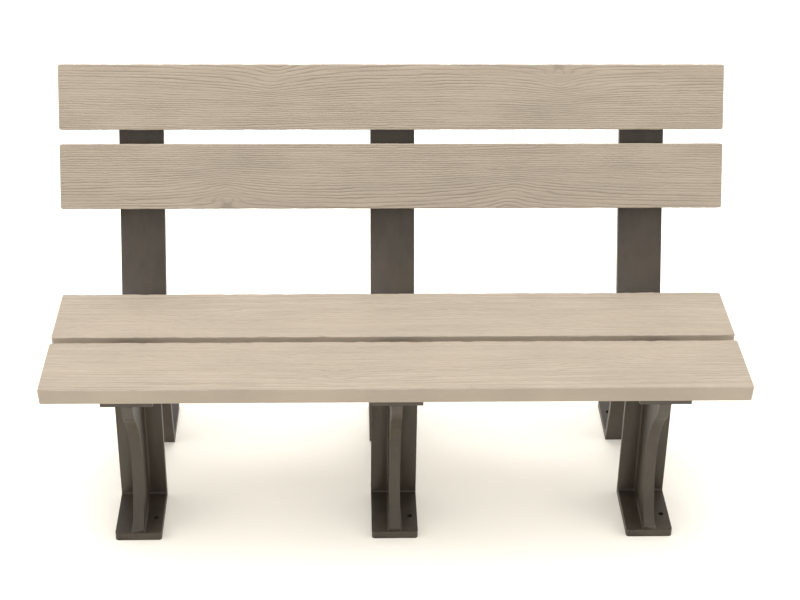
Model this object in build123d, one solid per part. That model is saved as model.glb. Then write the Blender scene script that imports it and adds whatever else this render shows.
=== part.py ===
from build123d import *
import os
from math import cos, radians, sin

# Park bench with a back: four moulded boards screwed to three moulded T-section supports.
# Millimetres. X runs along the bench, -Y is the front, +Z is up.
# The origin ends up on the ground, at the centre of the bench's bounding box.
# Side-view points below are (y, z), with y measured back from the front edge of the seat.

# ---- boards ----
BOARD_LENGTH = 1524.0
BOARD_THICKNESS = 35.0
BACK_BOARD_WIDTH = 150.0
SEAT_BOARD_WIDTH = 202.0
BOARD_DRAFT = 3.5            # degrees: the face is the widest part, for release from the mould
BOARD_FACE_RADIUS = 2.5
BOARD_CORNER_RADIUS = 5.0
BACK_GAP = 31.0
SEAT_GAP = 21.5

# ---- posture ----
SEAT_HEIGHT = 441.0          # front top edge of the seat
SEAT_TILT = 1.4              # degrees, rear edge lower
BACK_TILT = 23.0             # degrees from vertical
BACK_FOOT = (501.0, 611.0)   # bottom edge of the lower back board's face

# ---- supports ----
SUPPORT_SPACING = 578.0
PLATE = 18.0                 # thickness of every flange and foot
RIB = 24.0                   # thickness of the central rib
POST_WIDTH = 102.0
LEG_WIDTH = 104.0
ARM_WIDTH = 112.0
NOSE = 18.0                  # the seat arm starts this far behind the seat's front edge
POST_LENGTH = 313.0          # up the back from the lower board's bottom edge
FRONT_TOE = 60.0
REAR_TOE = 604.0
FRONT_LEG = (214.0, 203.0)   # y of its front face on the ground and at the seat arm
REAR_LEG = ((448.0, 0.0), (413.0, 105.0), (396.0, 260.0))   # front face, an arc running out backwards
WAIST = (121.0, 167.0)       # deepest point of the hollow curve along the front rib
NOSE_BOTTOM = 352.0          # the rib stands upright under the tip of the arm down to here ...
NOSE_RADIUS = 105.0          # ... where it rounds off into the hollow curve
ARCH_SPRING = 285.0          # the rib between the legs arches from here ...
ARCH_CROWN = 352.0           # ... up to here
RIB_LOW = (-175.0, 55.0)     # (up the back, behind the post's plate) where the rear rib turns down
RIB_TOP = (288.0, 23.0)      # the same where it ends at the top
ROOT_RADIUS = 5.0
EDGE_RADIUS = 2.5
TOE_RADIUS = 7.0
ANCHOR_HOLE = 12.0
ANCHOR_OFFSET = 34.0         # sideways from the rib: to the right in front, to the left behind
ANCHOR_SETBACK = 61.0        # from the end of the toe

# Side-view windows (low corner, high corner) around the inside corners that are rounded.
ROOT_WINDOWS = (((10, 10), (215, 390)), ((220, 280), (398, 384)), ((410, 10), (610, 379)))

# ---- fasteners: hex lag screws with flat washers, two at each crossing ----
SCREW_DIAMETER = 8.0
SCREW_LENGTH = 45.0
SCREW_POINT = 6.0
HEAD_FLATS = 13.0
HEAD_HEIGHT = 5.3
HEAD_CHAMFER = 0.8
WASHER_DIAMETER = 24.0
WASHER_BORE = 8.6
WASHER_THICKNESS = 2.0
CLEARANCE_HOLE = 9.0
PILOT_HOLE = 8.2
SCREW_OFFSET = 33.0          # sideways from the rib
SEAT_SCREWS = (54.0, 140.0)  # left and right screw, from the board's front edge
BACK_SCREWS = (45.0, 105.0)  # left and right screw, from the board's lower edge

SEAT_ROWS = {"front_seat": 0.0, "rear_seat": SEAT_BOARD_WIDTH + SEAT_GAP}
BACK_ROWS = {"lower_back": 0.0, "upper_back": BACK_BOARD_WIDTH + BACK_GAP}
SUPPORTS = {"left": -SUPPORT_SPACING, "center": 0.0, "right": SUPPORT_SPACING}
UNDER = BOARD_THICKNESS + PLATE   # depth of the flanges' outer side below a board's face

A, B = radians(BACK_TILT), radians(SEAT_TILT)

# Frames of the seat and the back: X along the bench, Y across the boards, Z out of their faces.
SEAT = Plane(origin=(0, 0, SEAT_HEIGHT), x_dir=(1, 0, 0), z_dir=(0, sin(B), cos(B)))
BACK = Plane(origin=(0, *BACK_FOOT), x_dir=(1, 0, 0), z_dir=(0, -cos(A), sin(A)))


def seat_point(along, below):
    """Side-view point, this far back along the seat and below its face."""
    return (along * cos(B) - below * sin(B), SEAT_HEIGHT - along * sin(B) - below * cos(B))


def back_point(up, behind):
    """Side-view point, this far up the back and behind its face."""
    return (BACK_FOOT[0] + up * sin(A) + behind * cos(A), BACK_FOOT[1] + up * cos(A) - behind * sin(A))


def arm_length(below_seat, behind_back):
    """How far back a line below the seat meets a line behind the back."""
    (y0, z0), (y1, z1) = seat_point(0, below_seat), back_point(0, behind_back)
    return ((y1 - y0) * cos(A) - (z1 - z0) * sin(A)) / cos(A - B)


def slab(outline, width):
    """A side-view outline made solid, this wide along X and centred on the support."""
    return extrude(Plane.YZ * outline, amount=width / 2, both=True)


def strip(*points):
    """A straight-sided side-view outline."""
    return make_face(Polyline(*points, close=True))


def board(width, screw_rows):
    """One moulded board: face at Z=0, front or lower edge on Y=0, pilot holes in its underside."""
    blank = Pos(0, width / 2) * Rectangle(BOARD_LENGTH, width)
    blank = fillet(blank.vertices(), BOARD_CORNER_RADIUS)
    body = extrude(blank, amount=-BOARD_THICKNESS, taper=BOARD_DRAFT)
    body = fillet(body.faces().sort_by(Axis.Z)[-1].edges(), BOARD_FACE_RADIUS)
    depth = SCREW_LENGTH - PLATE - WASHER_THICKNESS
    pilot = Cylinder(PILOT_HOLE / 2, depth, align=(Align.CENTER, Align.CENTER, Align.MIN))
    for middle in SUPPORTS.values():
        for side, row in zip((-1, 1), screw_rows):
            body -= Pos(middle + side * SCREW_OFFSET, row, -BOARD_THICKNESS) * pilot
    return body


def rib_outline():
    """Side view of a whole support, which its central rib fills."""
    corner = seat_point(arm_length(BOARD_THICKNESS, BOARD_THICKNESS), BOARD_THICKNESS)
    post_top = back_point(POST_LENGTH, BOARD_THICKNESS)
    rib_top = back_point(RIB_TOP[0], UNDER + RIB_TOP[1])
    rib_low = back_point(RIB_LOW[0], UNDER + RIB_LOW[1])
    heel = front_leg_face(0) + PLATE
    spring, hip = (front_leg_face(ARCH_SPRING) + PLATE, ARCH_SPRING), (REAR_LEG[2][0], ARCH_SPRING)
    crown = ((spring[0] + hip[0]) / 2, ARCH_CROWN)
    toe, rear_toe = (FRONT_TOE + EDGE_RADIUS, PLATE), (REAR_TOE - EDGE_RADIUS, PLATE)
    rear_edge = Line(rib_top, rib_low)
    outline = [
        Polyline((NOSE, NOSE_BOTTOM), seat_point(NOSE, BOARD_THICKNESS), corner, post_top),
        Polyline(post_top, back_point(POST_LENGTH, UNDER), rib_top),
        rear_edge,
        TangentArc(rib_low, rear_toe, tangent=rear_edge % 1),
        Polyline(rear_toe, (rear_toe[0], 0), REAR_LEG[0]),
        ThreePointArc(*REAR_LEG),
        Line(REAR_LEG[2], hip),
        ThreePointArc(hip, crown, spring),
        Polyline(spring, (heel, 0), (toe[0], 0), toe),
        ThreePointArc(toe, WAIST, (NOSE, NOSE_BOTTOM)),
    ]
    side_view = make_face(outline)
    corners = side_view.vertices().sort_by_distance((NOSE, NOSE_BOTTOM, 0))
    return fillet(corners[0], NOSE_RADIUS)


def arm():
    """Flange under the seat boards."""
    end = arm_length(BOARD_THICKNESS, UNDER)
    return strip(seat_point(NOSE, BOARD_THICKNESS), seat_point(end, BOARD_THICKNESS),
                 seat_point(end, UNDER), seat_point(NOSE, UNDER))


def post():
    """Flange behind the back boards, down to the underside of the arm."""
    front = arm_length(UNDER, BOARD_THICKNESS)
    rear = arm_length(UNDER, UNDER)
    return strip(seat_point(front, UNDER), back_point(POST_LENGTH, BOARD_THICKNESS),
                 back_point(POST_LENGTH, UNDER), seat_point(rear, UNDER))


def front_leg_face(height):
    """The front leg's face leans forward evenly from the ground to the seat."""
    return FRONT_LEG[0] - (FRONT_LEG[0] - FRONT_LEG[1]) * height / SEAT_HEIGHT


def front_leg():
    top = seat_point(FRONT_LEG[1], BOARD_THICKNESS + PLATE / 2)[1]
    low, high = front_leg_face(0), front_leg_face(top)
    return strip((low, 0), (high, top), (high + PLATE, top), (low + PLATE, 0))


def rear_leg():
    foot, knee, hip = REAR_LEG
    top = seat_point(hip[0], BOARD_THICKNESS + PLATE / 2)[1]
    back = [(y + PLATE, z) for y, z in REAR_LEG]
    edges = [
        ThreePointArc(foot, knee, hip),
        Polyline(hip, (hip[0], top), (back[2][0], top), back[2]),
        ThreePointArc(back[2], back[1], back[0]),
        Line(back[0], foot),
    ]
    return make_face(edges)


def foot(toe, heel, side):
    """Foot plate on the ground, with rounded toe corners and one anchor hole beside the rib."""
    inward = 1 if toe < heel else -1
    plate = Pos(0, (toe + heel) / 2) * Rectangle(LEG_WIDTH, abs(heel - toe))
    corners = plate.vertices().sort_by(Axis.Y)
    plate = fillet(corners[:2] if inward > 0 else corners[2:], TOE_RADIUS)
    hole = Pos(side * ANCHOR_OFFSET, toe + inward * ANCHOR_SETBACK) * Circle(ANCHOR_HOLE / 2)
    return extrude(plate - hole, amount=PLATE)


def across_edges(body, low, high):
    """Straight edges inside a side-view window that lie in a side face of the rib or of a plate."""
    found = []
    for edge in body.edges():
        box = edge.bounding_box()
        inside = low[0] < box.min.Y and box.max.Y < high[0] and low[1] < box.min.Z and box.max.Z < high[1]
        if inside and box.size.X < 0.01:
            found.append(edge)
    return found


def rib_ends(body):
    """Edges along the rib's free rim: the sides of every face exactly as wide as the rib."""
    rims = [face for face in body.faces() if abs(face.bounding_box().size.X - RIB) < 0.01]
    return [edge for rim in rims for edge in rim.edges() if edge.bounding_box().size.X < 0.01]


def rib_roots(body, low, high):
    """Inside corners where the rib meets a plate, inside a side-view window."""
    rims = rib_ends(body)
    sides = [edge for edge in across_edges(body, low, high) if abs(abs(edge.center().X) - RIB / 2) < 0.01]
    return [edge for edge in sides if not any(edge.is_same(rim) for rim in rims)]


def knees(body, low, high):
    """Inside corners on both sides of the rib where a leg stands on its foot, inside a side-view window."""
    found = []
    for edge in body.edges():
        middle, beside_rib = edge.center(), abs(edge.bounding_box().size.X - (LEG_WIDTH - RIB) / 2) < 0.01
        if beside_rib and abs(middle.Z - PLATE) < 0.01 and low[0] < middle.Y < high[0]:
            found.append(edge)
    return found


def screw_axes(frame, rows, screws):
    """Frames on the outer side of the flanges, Z into the boards, one for each screw of a support."""
    places = {}
    for name, start in rows.items():
        pairs = zip((-1, 1), screws)
        places[name] = [frame * Pos(side * SCREW_OFFSET, start + row, -UNDER) for side, row in pairs]
    return places


AXES = screw_axes(SEAT, SEAT_ROWS, SEAT_SCREWS) | screw_axes(BACK, BACK_ROWS, BACK_SCREWS)


def support():
    """One moulded support: post, arm, two legs and two feet, all T-sections on one central rib."""
    body = slab(rib_outline(), RIB)
    body += slab(arm(), ARM_WIDTH)
    body += slab(post(), POST_WIDTH)
    body += slab(front_leg(), LEG_WIDTH)
    body += slab(rear_leg(), LEG_WIDTH)
    body += foot(FRONT_TOE, FRONT_LEG[0] + PLATE / 2, 1)
    body += foot(REAR_TOE, REAR_LEG[0][0] + PLATE / 2, -1)
    for low, high in ROOT_WINDOWS:
        body = body.fillet(ROOT_RADIUS, rib_roots(body, low, high) + knees(body, low, high))
    hole = Cylinder(CLEARANCE_HOLE / 2, 2 * PLATE)
    for places in AXES.values():
        for place in places:
            body -= place * hole
    return body


def lag_screw():
    """Hex lag screw on Z: head below the washer, pointed tip in the board."""
    low, centred = (Align.CENTER, Align.CENTER, Align.MIN), (Align.CENTER, Align.CENTER)
    hexagon = RegularPolygon(HEAD_FLATS / 2, 6, major_radius=False, align=centred)
    head = Pos(0, 0, -HEAD_HEIGHT) * extrude(hexagon, HEAD_HEIGHT)
    head = chamfer(head.faces().sort_by(Axis.Z)[0].edges(), HEAD_CHAMFER)
    shank = Cylinder(SCREW_DIAMETER / 2, SCREW_LENGTH - SCREW_POINT, align=low)
    tip = Pos(0, 0, SCREW_LENGTH - SCREW_POINT) * Cone(SCREW_DIAMETER / 2, 1, SCREW_POINT, align=low)
    return Pos(0, 0, -WASHER_THICKNESS) * (head + shank + tip)


def washer():
    ring = Circle(WASHER_DIAMETER / 2) - Circle(WASHER_BORE / 2)
    return extrude(ring, amount=-WASHER_THICKNESS)


def bench():
    """Every node at its place, still measured from the front edge of the seat."""
    seat_board, back_board = board(SEAT_BOARD_WIDTH, SEAT_SCREWS), board(BACK_BOARD_WIDTH, BACK_SCREWS)
    nodes = {f"{name}_board": SEAT * Pos(0, start) * seat_board for name, start in SEAT_ROWS.items()}
    nodes |= {f"{name}_board": BACK * Pos(0, start) * back_board for name, start in BACK_ROWS.items()}
    frame, screw, ring = support(), lag_screw(), washer()
    for side, x in SUPPORTS.items():
        nodes[f"{side}_support"] = Pos(x) * frame
        for name, places in AXES.items():
            nodes[f"{side}_{name}_screws"] = Compound([Pos(x) * place * screw for place in places])
            nodes[f"{side}_{name}_washers"] = Compound([Pos(x) * place * ring for place in places])
    return nodes


nodes = bench()
box = Compound(list(nodes.values())).bounding_box()
to_origin = Pos(0, -box.center().Y, 0)
os.makedirs("parts", exist_ok=True)
for name, shape in nodes.items():
    export_step(to_origin * shape, f"parts/{name}.step")
print("overall size", box.size, "shift in Y", -box.center().Y)
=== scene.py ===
"""Park bench with a back: four wood-grained boards screwed to three dark moulded supports."""

import math

import bmesh
import bpy
import numpy as np
from mathutils import Matrix, Vector


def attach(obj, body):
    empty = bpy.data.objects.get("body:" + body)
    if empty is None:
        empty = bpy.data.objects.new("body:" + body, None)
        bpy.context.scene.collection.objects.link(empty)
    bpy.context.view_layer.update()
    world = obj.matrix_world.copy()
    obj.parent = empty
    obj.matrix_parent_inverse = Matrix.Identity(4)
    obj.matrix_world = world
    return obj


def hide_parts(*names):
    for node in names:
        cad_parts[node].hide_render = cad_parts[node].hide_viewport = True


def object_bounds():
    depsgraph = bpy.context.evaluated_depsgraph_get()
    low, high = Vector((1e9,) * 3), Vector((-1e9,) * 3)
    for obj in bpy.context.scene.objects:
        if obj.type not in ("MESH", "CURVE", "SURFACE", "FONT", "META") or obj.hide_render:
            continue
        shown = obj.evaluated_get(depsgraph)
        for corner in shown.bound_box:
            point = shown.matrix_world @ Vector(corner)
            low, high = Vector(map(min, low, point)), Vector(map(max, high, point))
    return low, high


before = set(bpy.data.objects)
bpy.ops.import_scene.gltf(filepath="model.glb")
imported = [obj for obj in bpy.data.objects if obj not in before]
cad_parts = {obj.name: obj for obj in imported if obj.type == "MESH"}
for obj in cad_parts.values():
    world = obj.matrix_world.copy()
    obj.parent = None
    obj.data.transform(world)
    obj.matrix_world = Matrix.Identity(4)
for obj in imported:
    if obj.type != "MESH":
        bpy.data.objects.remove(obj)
cad_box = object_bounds()
scene = bpy.context.scene
scene.view_settings.view_transform = "Standard"

# ---- Camera ----
# At a standing person's eye, in front of the bench and a little left of its middle, looking down
# on the seat through a long lens.
EYE = Vector((-0.1128, -3.6706, 2.5961))
LOOK_DOWN, TURN, LEAN = math.radians(30.18), math.radians(-1.98), math.radians(0.78)

camera = bpy.data.objects.new("camera", bpy.data.cameras.new("camera"))
camera.data.lens, camera.data.sensor_width = 84.15, 36.0
camera.matrix_world = (
    Matrix.Translation(EYE)
    @ Matrix.Rotation(TURN, 4, "Z")
    @ Matrix.Rotation(math.pi / 2 - LOOK_DOWN, 4, "X")
    @ Matrix.Rotation(LEAN, 4, "Z")
)
scene.collection.objects.link(camera)
scene.camera = camera

# ---- Studio light ----
# A white room all round, with a large soft box overhead and a weaker one on each side. The seat
# comes out lighter than the back, and the shadow on the floor stays faint.
ROOM_LIGHT = 0.95
LAMP_COLOR = (1.0, 0.985, 0.965)
SOFT_BOXES = (
    # name, place, width and height in metres, watts; each faces the middle of the bench
    ("overhead", (-0.2, 0.5, 3.8), (4.5, 2.6), 139.0),
    ("left", (-3.8, -0.8, 2.0), (2.5, 2.0), 45.0),
    ("right", (3.8, -0.8, 2.0), (2.5, 2.0), 52.0),
)

scene.world = bpy.data.worlds.new("white_room")
scene.world.use_nodes = True
room = scene.world.node_tree.nodes["Background"]
room.inputs["Color"].default_value = (*LAMP_COLOR, 1.0)
room.inputs["Strength"].default_value = ROOM_LIGHT
bench_middle = (cad_box[0] + cad_box[1]) / 2
for name, place, size, watts in SOFT_BOXES:
    light = bpy.data.lights.new(name, "AREA")
    light.shape, light.energy, light.color = "RECTANGLE", watts, LAMP_COLOR
    light.size, light.size_y = size
    soft_box = bpy.data.objects.new(name, light)
    aim = (bench_middle - Vector(place)).to_track_quat("-Z", "Y")
    soft_box.matrix_world = Matrix.Translation(place) @ aim.to_matrix().to_4x4()
    scene.collection.objects.link(soft_box)


# ---- Floor ----
# A seamless sheet of pale painted board under the feet, with the faintest mottle of paint. It is ivory
# near the bench and whiter further off, which is painted shade round the bench.
class Signal:
    """A node's output. Arithmetic on it adds Math nodes to its tree."""

    def __init__(self, wiring, socket):
        self.wiring, self.socket = wiring, socket

    def other(self, output):
        """Another output of the same node, by its name."""
        return Signal(self.wiring, self.socket.node.outputs[output])

    def math(self, operation, *values):
        return self.wiring.add("ShaderNodeMath", {"operation": operation}, dict(enumerate(values)))

    def __add__(self, value):
        return self.math("ADD", self, value)

    def __sub__(self, value):
        return self.math("SUBTRACT", self, value)

    def __mul__(self, value):
        return self.math("MULTIPLY", self, value)

    def __truediv__(self, value):
        return self.math("DIVIDE", self, value)

    def __pow__(self, value):
        return self.math("POWER", self, value)

    def __rsub__(self, value):
        return self.math("SUBTRACT", value, self)

    __radd__, __rmul__ = __add__, __mul__

    def __abs__(self):
        return self.math("ABSOLUTE", self)


class Wiring:
    """Lays and links the nodes of one tree, of a material or of a Geometry Nodes modifier."""

    def __init__(self, tree):
        self.tree = tree

    def add(self, kind, settings=None, sockets=None, output=0):
        """Adds a node, sets it, then fills or links its sockets, and gives one of its outputs."""
        node = self.tree.nodes.new(kind)
        for name, value in (settings or {}).items():
            setattr(node, name, value)
        for name, value in (sockets or {}).items():
            if isinstance(value, Signal):
                self.tree.links.new(value.socket, node.inputs[name])
            else:
                node.inputs[name].default_value = value
        return Signal(self, node.outputs[output])

    def noise(self, place, scale, detail=2.0, roughness=0.5):
        """Soft noise from 0 to 1; scale is how many spots fit in a metre along each axis."""
        stretched = self.add("ShaderNodeVectorMath", {"operation": "MULTIPLY"}, {0: place, 1: scale})
        return self.add(
            "ShaderNodeTexNoise",
            {"noise_dimensions": "3D"},
            {"Vector": stretched, "Scale": 1.0, "Detail": detail, "Roughness": roughness},
        )

    def between(self, value, low, high):
        """0 below low, 1 above high and a smooth step between."""
        sockets = {"Value": value, "From Min": low, "From Max": high}
        return self.add("ShaderNodeMapRange", {"interpolation_type": "SMOOTHSTEP"}, sockets)

    def mix(self, factor, first, second):
        """Mixes two colours: the first at factor 0, the second at 1."""
        colors = {0: factor, 6: first, 7: second}
        for index in (6, 7):
            if not isinstance(colors[index], Signal):
                colors[index] = (*colors[index], 1.0)
        return self.add("ShaderNodeMix", {"data_type": "RGBA"}, colors, output=2)

    def bump(self, height, strength, distance, **under):
        """Fine relief over the surface, or over another Normal."""
        sockets = {"Height": height, "Strength": strength, "Distance": distance}
        return self.add("ShaderNodeBump", sockets=sockets | under)


def new_material(name):
    """An empty material with its surface shader, ready to be wired."""
    material = bpy.data.materials.new(name)
    material.use_nodes = True
    shader = material.node_tree.nodes["Principled BSDF"]
    return material, Wiring(material.node_tree), shader


def drive(wires, shader, **inputs):
    """Links or sets the surface shader's sockets, named with _ for a space."""
    for name, value in inputs.items():
        socket = shader.inputs[name.replace("_", " ")]
        if isinstance(value, Signal):
            wires.tree.links.new(value.socket, socket)
        else:
            socket.default_value = value


def flat_object(name, vertices, faces):
    """A mesh object at the origin."""
    mesh = bpy.data.meshes.new(name)
    mesh.from_pydata(vertices, [], faces)
    thing = bpy.data.objects.new(name, mesh)
    scene.collection.objects.link(thing)
    return thing


FLOOR_REACH = 14.0           # half the sheet's side
# The sheet glows in its own colour. This is painted light in place of a lamp beneath it, and it takes
# most of the shadow off.
FLOOR_GLOW = 0.25            # the sheet is lit from beneath, which takes most of the shadow off it
IVORY, PALE_IVORY, WHITE = (0.87, 0.84, 0.765), (0.89, 0.86, 0.785), (0.92, 0.91, 0.88)
IVORY_REACH, WHITE_FROM = 0.9, 2.6   # metres from the middle of the bench
floor = flat_object(
    "floor",
    [(x * FLOOR_REACH, y * FLOOR_REACH, 0.0) for x, y in ((-1, -1), (1, -1), (1, 1), (-1, 1))],
    [(0, 1, 2, 3)],
)
pale_paint, wires, shader = new_material("pale_paint")
place = wires.add("ShaderNodeTexCoord", output="Object")
mottle = wires.noise(place, (3.0, 3.0, 3.0))
far_off = wires.add("ShaderNodeVectorMath", {"operation": "LENGTH"}, {0: place}, output="Value")
# Painted shade: ivory near the bench, fading to white further off.
shaded_near_tone = wires.mix(mottle, IVORY, PALE_IVORY)
floor_tone_and_shade = wires.mix(wires.between(far_off, IVORY_REACH, WHITE_FROM), shaded_near_tone, WHITE)
drive(
    wires, shader,
    Base_Color=floor_tone_and_shade, Roughness=0.85, Specular_IOR_Level=0.2,
    Emission_Color=floor_tone_and_shade, Emission_Strength=FLOOR_GLOW,
)
floor.data.materials.append(pale_paint)


# ---- Boards ----
# Two back boards out of one mould and two seat boards out of a wider one: tan plastic, solid,
# pressed with a wood grain on the face. The second board of each pair is turned end for end.
SIDE_DRAFT = math.radians(3.5)
FACE_RADIUS, CORNER_RADIUS, BACK_RADIUS = 0.0025, 0.005, 0.0012
FACE_STEPS, SIDE_STEPS, BACK_STEPS = 5, 5, 3   # points round the face's edge, down the side, round below
SEAT_TILT, BACK_TILT = math.radians(1.4), math.radians(23.0)
LINES = 360                  # cross-sections along a board
FACE_POINTS = 236            # points of a cross-section that lie on the face
CLOSING = 380.0              # how fast the grain lines draw together towards one edge, per square metre
BOARD_TONE = (0.340, 0.287, 0.226)


def board_frame(node, tilt):
    """A board's length, width and thickness, and the matrix that brings it from lying flat, face
    up on Z=0 with its middle at the origin, to its place."""
    turn = Matrix.Rotation(tilt, 4, "X")
    corners = np.array([turn.inverted() @ v.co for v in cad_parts[node].data.vertices])
    low, high = corners.min(0), corners.max(0)
    middle = Vector(((low[0] + high[0]) / 2, (low[1] + high[1]) / 2, high[2]))
    return high - low, turn @ Matrix.Translation(middle)


def section(width, thickness):
    """The board's outline across its middle as (across, height), from the face round the back."""
    half = width / 2
    turns = np.linspace(0, math.pi / 2 - SIDE_DRAFT, FACE_STEPS + 1)
    shoulder = [
        (half - FACE_RADIUS + FACE_RADIUS * math.sin(turn), -FACE_RADIUS + FACE_RADIUS * math.cos(turn))
        for turn in turns
    ]
    top, foot = shoulder[-1], -thickness + BACK_RADIUS
    side = [
        (top[0] - (top[1] - z) * math.tan(SIDE_DRAFT), z)
        for z in np.linspace(top[1], foot, SIDE_STEPS + 1)[1:]
    ]
    inner = side[-1][0] - BACK_RADIUS
    heel = [
        (inner + BACK_RADIUS * math.cos(turn), foot - BACK_RADIUS * math.sin(turn))
        for turn in np.linspace(0, math.pi / 2, BACK_STEPS + 1)[1:]
    ]
    under = [(inner - 2.5 * BACK_RADIUS, -thickness), (inner / 2, -thickness)]
    right = shoulder[1:] + side + heel + under
    face = [(y, 0.0) for y in np.linspace(-shoulder[0][0], shoulder[0][0], FACE_POINTS)]
    left = [(-y, z) for y, z in reversed(right)]
    return np.array(face + right + [(0.0, -thickness)] + left)


def board_blank(name, length, width, thickness):
    """A smooth board lying face up: cross-sections along its length, closed at both ends. They lie
    closer together at the ends, where the face and the corners round off."""
    outline = section(width, thickness)
    half = length / 2
    at_ends = np.array([0, 0.0003, 0.001, 0.0018, 0.0026, 0.0038, 0.0055])
    even = half - 0.009          # the even spacing ends 9 mm short of each end
    along = np.concatenate([-half + at_ends, np.linspace(-even, even, LINES), half - at_ends[::-1]])
    in_from_end = half - abs(along)

    def rounded(radius):
        """How far the outline has drawn in by this radius, for every cross-section."""
        near = np.clip(1 - in_from_end / radius, 0, 1)
        return radius * (1 - np.sqrt(1 - near ** 2))

    narrower = 1 - rounded(CORNER_RADIUS)[:, None] / (width / 2)
    across = outline[None, :, 0] * narrower
    lower = rounded(FACE_RADIUS)[:, None] * (1 + outline[None, :, 1] / thickness)
    height = outline[None, :, 1] - lower
    drafted = along[:, None] * (1 + height * math.tan(SIDE_DRAFT) / half)
    vertices = np.stack([drafted, across, height], axis=2)
    count, points = vertices.shape[:2]
    index = np.arange(count * points).reshape(count, points)
    after = np.roll(index, -1, axis=1)
    walls = np.stack([index[:-1], index[1:], after[1:], after[:-1]], axis=2).reshape(-1, 4)
    caps = [index[0].tolist(), index[-1][::-1].tolist()]
    return flat_object(name, vertices.reshape(-1, 3).tolist(), walls.tolist() + caps)


def modifier_tree(name, inputs):
    """A Geometry Nodes tree with one geometry and these named number inputs."""
    tree = bpy.data.node_groups.new(name, "GeometryNodeTree")
    tree.interface.new_socket("Geometry", in_out="INPUT", socket_type="NodeSocketGeometry")
    tree.interface.new_socket("Geometry", in_out="OUTPUT", socket_type="NodeSocketGeometry")
    for label, kind in inputs.items():
        tree.interface.new_socket(label, in_out="INPUT", socket_type=kind)
    return tree


def run_tree(thing, tree, values):
    """Runs a Geometry Nodes tree on an object and leaves the result as its plain mesh."""
    modifier = thing.modifiers.new(tree.name, "NODES")
    modifier.node_group = tree
    for socket in tree.interface.items_tree:
        if socket.in_out == "INPUT" and socket.name in values:
            modifier[socket.identifier] = values[socket.name]
    evaluated = thing.evaluated_get(bpy.context.evaluated_depsgraph_get())
    mesh = bpy.data.meshes.new_from_object(evaluated)
    thing.modifiers.remove(modifier)
    thing.data = mesh
    mesh.name = thing.name


def grain_tree(name, knots):
    """Presses a wood grain into the face of a blank. knots are the places where the lines bend
    round a branch: (along, across, drop, reach left, reach right, spread below, spread above).
    Turned is -1 for a board turned end for end, Pitch the distance between lines, Wander how far
    they stray, Depth their relief and Edge Wear how far the long edges of the face are uneven."""
    numbers = ("Width", "Turned", "Pitch", "Wander", "Depth", "Edge Wear", "Seed")
    kinds = {label: "NodeSocketFloat" for label in numbers}
    tree = modifier_tree(name, kinds | {"Material": "NodeSocketMaterial"})
    wires = Wiring(tree)
    blank = wires.add("NodeGroupInput")
    width, turned, pitch, wander, depth, wear, seed = (blank.other(label) for label in numbers)
    position = wires.add("GeometryNodeInputPosition")
    spot = wires.add("ShaderNodeSeparateXYZ", sockets={0: position})
    x, y, z = spot, spot.other("Y"), spot.other("Z")
    u, v = x * turned, y * turned
    mould = wires.add("ShaderNodeCombineXYZ", sockets={"X": u, "Y": v, "Z": seed})

    # Where a point lies across the grain, once the lines' slow drift, their stray and the knots
    # have moved it.
    bent = v + (wires.noise(mould, (1.6, 5.0, 1.0), 1.0) - 0.5) * 0.022
    bent = bent + (wires.noise(mould, (11.0, 48.0, 1.0), 2.0) - 0.5) * wander
    bent = bent + (wires.noise(mould, (48.0, 130.0, 1.0), 1.0) - 0.5) * wander * 0.35
    for along, across, drop, left, right, below, above in knots:
        beside, over = u - along, v - across
        reach = left + (right - left) * wires.between(beside, -0.004, 0.004)
        spread = below + (above - below) * wires.between(over, -0.002, 0.002)
        nearness = (beside * beside + 0.00002) ** 0.5 / reach
        rise = over / spread
        bent = bent + drop * nearness.math("EXPONENT", (nearness + rise * rise) * -1.0)

    # Deep grooves, one to a line and strongest in patches, with finer ripples and flecks between.
    count = bent / pitch - bent * bent * CLOSING
    line = count + (wires.noise(mould, (1.2, 90.0, 1.0), 0.0) - 0.5) * 1.1
    wave = line.math("COSINE", line * math.tau) * 0.5 + 0.5
    patch = wires.between(wires.noise(mould, (6.0, 30.0, 1.0), 2.0), 0.32, 0.60)
    ripple = line.math("COSINE", count * (2.6 * math.tau)) * 0.5 + 0.5
    fleck = wires.between(wires.noise(mould, (45.0, 420.0, 1.0), 1.0), 0.50, 0.70)
    groove = wave ** 5.0 * (patch * 0.65 + 0.35) * 0.76 + ripple * 0.09 + fleck * 0.15

    # The relief fades out over the rounded edge, which wanders in and out by itself.
    on_face = wires.between(z, -0.0022, -0.0002)
    rough_edge = wires.noise(mould, (26.0, 0.0, 1.0), 3.0, 0.65)
    edge_side = wires.add("ShaderNodeMath", {"operation": "SIGN"}, {0: y})
    from_edge = width / 2 - abs(y)
    at_edge = (1 - wires.between(from_edge, 0.0, 0.012)) * wires.between(z, -0.020, -0.001)
    inward = wires.between(rough_edge, 0.38, 0.75) * wear * at_edge * edge_side * -1.0
    sunk = groove * depth * on_face * -1.0
    shift = wires.add("ShaderNodeCombineXYZ", sockets={"Y": inward, "Z": sunk})
    moved = wires.add("GeometryNodeSetPosition", sockets={"Geometry": blank, "Offset": shift})
    marked = wires.add(
        "GeometryNodeStoreNamedAttribute", {"data_type": "FLOAT_VECTOR", "domain": "POINT"},
        {"Geometry": moved, "Name": "mould", "Value": mould},
    )
    marked = wires.add(
        "GeometryNodeStoreNamedAttribute", {"data_type": "FLOAT", "domain": "POINT"},
        {"Geometry": marked, "Name": "groove", "Value": groove * on_face},
    )
    real = wires.add("GeometryNodeRealizeInstances", sockets={"Geometry": marked})
    finished = wires.add(
        "GeometryNodeSetMaterial", sockets={"Geometry": real, "Material": blank.other("Material")}
    )
    tree.links.new(finished.socket, tree.nodes.new("NodeGroupOutput").inputs[0])
    return tree


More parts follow.
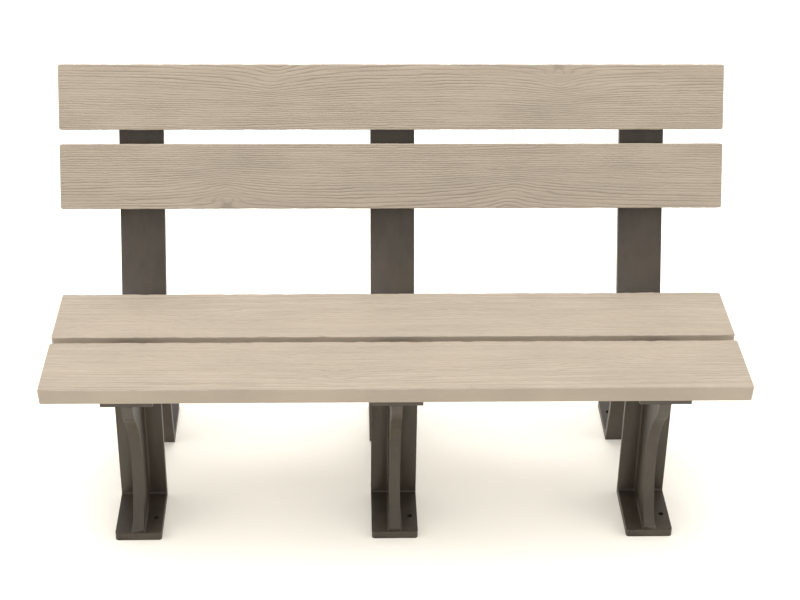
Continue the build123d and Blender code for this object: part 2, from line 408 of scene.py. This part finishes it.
def board_plastic(name):
    """Tan moulded plastic, streaked along the grain, dull and finely lined, with painted shade in the
    grooves.
    """
    material, wires, shader = new_material(name)
    place = wires.add("ShaderNodeAttribute", {"attribute_name": "mould"}, output="Vector")
    groove = wires.add("ShaderNodeAttribute", {"attribute_name": "groove"}, output="Fac")
    streak = wires.noise(place, (4.0, 210.0, 9.0), 4.0, 0.6)
    cloud = wires.noise(place, (5.0, 14.0, 9.0), 3.0)
    pale, deep = (tuple(c * k for c in BOARD_TONE) for k in (1.07, 0.92))
    ground = wires.mix(wires.between(streak * 0.6 + cloud * 0.4, 0.35, 0.65), deep, pale)
    # Painted shade: the grooves are darker in colour as well as sunk in the surface.
    painted_shade_in_grooves = tuple(c * k for c, k in zip(BOARD_TONE, (0.50, 0.47, 0.44)))
    color = wires.mix(groove * 0.85, ground, painted_shade_in_grooves)
    lines = wires.noise(place, (60.0, 1500.0, 60.0), 3.0, 0.6)
    grit = wires.noise(place, (900.0, 900.0, 900.0), 2.0)
    drive(
        wires, shader,
        Base_Color=color,
        Roughness=0.50 + 0.16 * cloud + 0.1 * groove,
        Normal=wires.bump(lines * 0.7 + grit * 0.3, 0.55, 0.0003),
        Specular_IOR_Level=0.42,
    )
    return material


BACK_MOULD = grain_tree("back_board_grain", (
    (-0.282, 0.020, 0.026, 0.110, 0.180, 0.034, 0.060),
    (-0.262, 0.080, 0.022, 0.050, 0.060, 0.030, 0.030),
    (0.378, 0.052, 0.024, 0.022, 0.028, 0.018, 0.012),
    (0.385, 0.022, 0.017, 0.090, 0.075, 0.040, 0.045),
))
SEAT_MOULD = grain_tree("seat_board_grain", (
    (-0.455, -0.030, 0.024, 0.090, 0.140, 0.034, 0.060),
    (0.130, 0.055, -0.024, 0.160, 0.090, 0.055, 0.034),
    (0.560, -0.050, 0.015, 0.040, 0.050, 0.018, 0.018),
))
back = (math.pi / 2 - BACK_TILT, BACK_MOULD, board_plastic("back_board_plastic"), "back_boards")
seat = (-SEAT_TILT, SEAT_MOULD, board_plastic("seat_board_plastic"), "seat_boards")
for node, (tilt, tree, material, slot_name), turned, pitch, wander, depth, wear, seed in (
    ("upper_back_board", back, 1.0, 0.0058, 0.0060, 0.0011, 0.0009, 1.7),
    ("lower_back_board", back, -1.0, 0.0058, 0.0060, 0.0011, 0.0009, 1.7),
    ("rear_seat_board", seat, 1.0, 0.0078, 0.0120, 0.0018, 0.0024, 4.3),
    ("front_seat_board", seat, -1.0, 0.0078, 0.0120, 0.0018, 0.0024, 4.3),
):
    (length, width, thickness), place_board = board_frame(node, tilt)
    board = board_blank(f"{node}_grained", length, width, thickness)
    run_tree(board, tree, {
        "Width": width, "Turned": turned, "Pitch": pitch, "Wander": wander, "Depth": depth,
        "Edge Wear": wear, "Seed": seed, "Material": material,
    })
    board.data.transform(place_board)
    board.data.shade_smooth()
    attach(board, "root")
    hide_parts(node)


# ---- Supports ----
# Three identical mouldings of dark brown plastic, T-shaped in section, each in one piece from the
# post down to the two feet. The inside corners are rounded and the edges slightly softened.
RIM_RADIUS = 0.0016          # of the softened edges, in shading alone
SHARP = math.radians(35.0)   # edges that turn more than this stay crisp
ONE_CORNER = 1e-5            # points of the CAD mesh closer than this are one
BROWN, PALE_BROWN = (0.0410, 0.0307, 0.0212), (0.0550, 0.0417, 0.0285)


def smooth_copy(node, name):
    """A copy of a moulding's mesh, smooth over its rounded corners and flat on its flat faces."""
    shape = bmesh.new()
    shape.from_mesh(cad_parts[node].data)
    bmesh.ops.remove_doubles(shape, verts=shape.verts, dist=ONE_CORNER)
    mesh = bpy.data.meshes.new(name)
    shape.to_mesh(mesh)
    shape.free()
    mesh.shade_smooth()
    mesh.set_sharp_from_angle(angle=SHARP)
    thing = bpy.data.objects.new(name, mesh)
    scene.collection.objects.link(thing)
    shading = thing.modifiers.new("shading", "WEIGHTED_NORMAL")
    shading.mode, shading.weight, shading.keep_sharp = "FACE_AREA", 100, True
    evaluated = thing.evaluated_get(bpy.context.evaluated_depsgraph_get())
    shaded = bpy.data.meshes.new_from_object(evaluated)
    thing.modifiers.clear()
    thing.data = shaded
    return thing


support_plastic, wires, shader = new_material("support_plastic")
place = wires.add("ShaderNodeTexCoord", output="Object")
flow = wires.noise(place, (38.0, 38.0, 5.0), 3.0, 0.6)
cloud = wires.noise(place, (14.0, 14.0, 9.0), 3.0)
grit = wires.noise(place, (1100.0, 1100.0, 1100.0), 2.0)
dimple = wires.noise(place, (260.0, 260.0, 160.0), 2.0)
rims = wires.add("ShaderNodeBevel", {"samples": 8}, {"Radius": RIM_RADIUS})
drive(
    wires, shader,
    Base_Color=wires.mix(wires.between(flow * 0.55 + cloud * 0.45, 0.36, 0.64), BROWN, PALE_BROWN),
    Roughness=0.36 + 0.14 * cloud + 0.06 * grit,
    Normal=wires.bump(grit * 0.4 + dimple * 0.6, 0.35, 0.0003, Normal=rims),
    Specular_IOR_Level=0.5,
)
for side in ("left", "center", "right"):
    moulding = smooth_copy(f"{side}_support", f"{side}_support_moulded")
    moulding.data.materials.append(support_plastic)
    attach(moulding, "root")
    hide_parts(f"{side}_support")


# ---- Lag screws and washers ----
# Two hexagon lag screws of stainless steel hold each board to each support, from the flange side,
# on plain washers: cold-headed and rolled screws, punched washers. One of each, set out 24 times.
HEAD_FLATS, HEAD_HEIGHT, HEAD_CHAMFER = 0.013, 0.0053, 0.0008
THREAD_RADIUS, CORE_RADIUS, THREAD_PITCH = 0.0040, 0.0029, 0.0034
SHANK_LENGTH, PLAIN_LENGTH, POINT_LENGTH, TIP_RADIUS = 0.045, 0.004, 0.006, 0.0008
WASHER_RADIUS, BORE_RADIUS, WASHER_THICKNESS = 0.012, 0.0043, 0.002
STEPS = 24                   # round a screw: a multiple of six, to meet the corners of the head
CRISP = math.radians(32.0)   # edges of the steel that turn more than this stay crisp
ONE_POINT = 1e-7             # points of two rings closer than this are one
STEEL, PALE_STEEL = (0.50, 0.50, 0.49), (0.62, 0.62, 0.61)


def turned(name, rings, capped):
    """A closed body round Z from rings of points, each (heights, radii) for every angle. It is
    capped at its first and last ring, unless they meet."""
    steps = len(rings[0][1])
    angles = np.arange(steps) * math.tau / steps
    vertices = [
        (radius * math.cos(angle), radius * math.sin(angle), height)
        for heights, radii in rings
        for angle, height, radius in zip(angles, heights, radii)
    ]
    index = np.arange(len(rings) * steps).reshape(len(rings), steps)
    after = np.roll(index, -1, axis=1)
    walls = np.stack([index[:-1], after[:-1], after[1:], index[1:]], axis=2).reshape(-1, 4).tolist()
    caps = [index[0][::-1].tolist(), index[-1].tolist()] if capped else []
    thing = flat_object(name, vertices, walls + caps)
    shape = bmesh.new()
    shape.from_mesh(thing.data)
    bmesh.ops.remove_doubles(shape, verts=shape.verts, dist=ONE_POINT)
    bmesh.ops.recalc_face_normals(shape, faces=shape.faces)
    shape.to_mesh(thing.data)
    shape.free()
    thing.data.shade_smooth()
    thing.data.set_sharp_from_angle(angle=CRISP)
    return thing


def lag_screw_rings():
    """From the head's top face to its underside, then down the threaded shank to the point."""
    angles = np.arange(STEPS) * math.tau / STEPS
    from_flat = (angles + math.pi / 6) % (math.pi / 3) - math.pi / 6
    flat = HEAD_FLATS / 2
    hexagon = flat / np.cos(from_flat)
    under_head = -WASHER_THICKNESS / 2
    top, tip = under_head - HEAD_HEIGHT, under_head + SHANK_LENGTH
    level = np.ones(STEPS)

    # The chamfer cuts the corners back to a circle that widens down the head: share of the
    # chamfer's depth, and radius as a share of half the width across the flats.
    rings = [
        (level * (top + depth * HEAD_CHAMFER), np.minimum(hexagon, limit * flat))
        for depth, limit in ((0, 0.90), (0.12, 0.965), (0.45, 1.03), (1.0, 1.16))
    ]

    # The lower corners are eased a little, and the shank starts in the middle of the underside.
    ease = 0.0002
    rings.append((level * (under_head - 2 * ease), hexagon))
    rings.append((level * (under_head - ease), np.minimum(hexagon, 1.03 * flat)))
    rings.append((level * under_head, level * 0.95 * flat))
    rings.append((level * under_head, level * THREAD_RADIUS))

    # The thread, a ridge with a narrow flat crest, runs in below a plain neck and narrows with
    # the point.
    for height in np.arange(under_head + 0.0006, tip, THREAD_PITCH / 6):
        turn = (height / THREAD_PITCH - angles / math.tau) % 1.0
        run_in = np.clip((height - under_head) / PLAIN_LENGTH - 1, 0, 1)
        crest = np.clip(1.6 - 4.2 * abs(turn - 0.5), 0, 1) * run_in
        threaded = CORE_RADIUS + (THREAD_RADIUS - CORE_RADIUS) * crest
        radii = level * THREAD_RADIUS if height < under_head + PLAIN_LENGTH else threaded
        taper = min(1.0, 0.25 + 0.75 * (tip - height) / POINT_LENGTH)
        rings.append((level * height, radii * taper))
    rings.append((level * tip, level * TIP_RADIUS))
    return rings


def washer_rings():
    """Round the washer's section, from the bore over the lower face to the rim and back."""
    half, lip = WASHER_THICKNESS / 2, 0.0003
    nick = 0.3 * lip             # how far the middle of a rounded edge lies in from the corner
    outline = (
        (BORE_RADIUS, half - lip), (BORE_RADIUS, lip - half), (BORE_RADIUS + lip, -half),
        (WASHER_RADIUS - lip, -half), (WASHER_RADIUS - nick, nick - half), (WASHER_RADIUS, lip - half),
        (WASHER_RADIUS, half - lip), (WASHER_RADIUS - nick, half - nick), (WASHER_RADIUS - lip, half),
        (BORE_RADIUS + lip, half), (BORE_RADIUS, half - lip),
    )
    level = np.ones(2 * STEPS)
    return [(level * height, level * radius) for radius, height in outline]


def set_out_tree():
    """Stands a copy of the pattern at every point, tilted as the point says and turned about its
    own axis at random, by up to Turn."""
    tree = modifier_tree("set_out", {
        "Pattern": "NodeSocketObject", "Turn": "NodeSocketFloat", "Seed": "NodeSocketInt",
        "Material": "NodeSocketMaterial",
    })
    wires = Wiring(tree)
    given = wires.add("NodeGroupInput")
    pattern = wires.add(
        "GeometryNodeObjectInfo", sockets={"Object": given.other("Pattern")}, output="Geometry"
    )
    tilt = wires.add("GeometryNodeInputNamedAttribute", {"data_type": "FLOAT_VECTOR"}, {"Name": "tilt"})
    copies = wires.add("GeometryNodeInstanceOnPoints", sockets={
        "Points": given, "Instance": pattern, "Rotation": tilt,
    })
    angle = wires.add(
        "FunctionNodeRandomValue", {"data_type": "FLOAT"},
        {2: 0.0, 3: given.other("Turn"), "Seed": given.other("Seed")}, output=1,
    )
    spin = wires.add("ShaderNodeCombineXYZ", sockets={"Z": angle})
    spun = wires.add("GeometryNodeRotateInstances", sockets={"Instances": copies, "Rotation": spin})
    real = wires.add("GeometryNodeRealizeInstances", sockets={"Geometry": spun})
    finished = wires.add(
        "GeometryNodeSetMaterial", sockets={"Geometry": real, "Material": given.other("Material")}
    )
    tree.links.new(finished.socket, tree.nodes.new("NodeGroupOutput").inputs[0])
    return tree


steel, wires, shader = new_material("stainless_steel")
place = wires.add("ShaderNodeTexCoord", output="Object")
brushed = wires.noise(place, (900.0, 900.0, 900.0), 2.0)
drive(
    wires, shader,
    Base_Color=wires.mix(brushed, STEEL, PALE_STEEL),
    Metallic=1.0, Roughness=0.28 + 0.15 * brushed,
    Normal=wires.bump(brushed, 0.2, 0.0001),
)

# A point in the middle of every washer, from the two washers that each of these CAD nodes holds.
washer_nodes = sorted(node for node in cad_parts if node.endswith("_washers"))
screw_nodes = sorted(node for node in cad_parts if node.endswith("_screws"))
middles, tilts = [], []
for node in washer_nodes:
    corners = np.array([v.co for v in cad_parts[node].data.vertices])
    between_two = (corners[:, 0].min() + corners[:, 0].max()) / 2
    for one in (corners[corners[:, 0] < between_two], corners[corners[:, 0] > between_two]):
        middles.append(tuple((one.min(0) + one.max(0)) / 2))
        tilts += [-SEAT_TILT if "seat" in node else math.pi / 2 - BACK_TILT, 0.0, 0.0]

set_out = set_out_tree()
for name, slot_name, rings, capped, nodes, seed in (
    ("lag_screws", "screws", lag_screw_rings(), True, screw_nodes, 5),
    ("washers", "washers", washer_rings(), False, washer_nodes, 8),
):
    pattern = turned(f"{name}_pattern", rings, capped)
    fasteners = flat_object(name, middles, [])
    fasteners.data.attributes.new("tilt", "FLOAT_VECTOR", "POINT").data.foreach_set("vector", tilts)
    run_tree(fasteners, set_out, {"Pattern": pattern, "Turn": math.tau, "Seed": seed, "Material": steel})
    bpy.data.objects.remove(pattern)
    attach(fasteners, "root")
    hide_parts(*nodes)
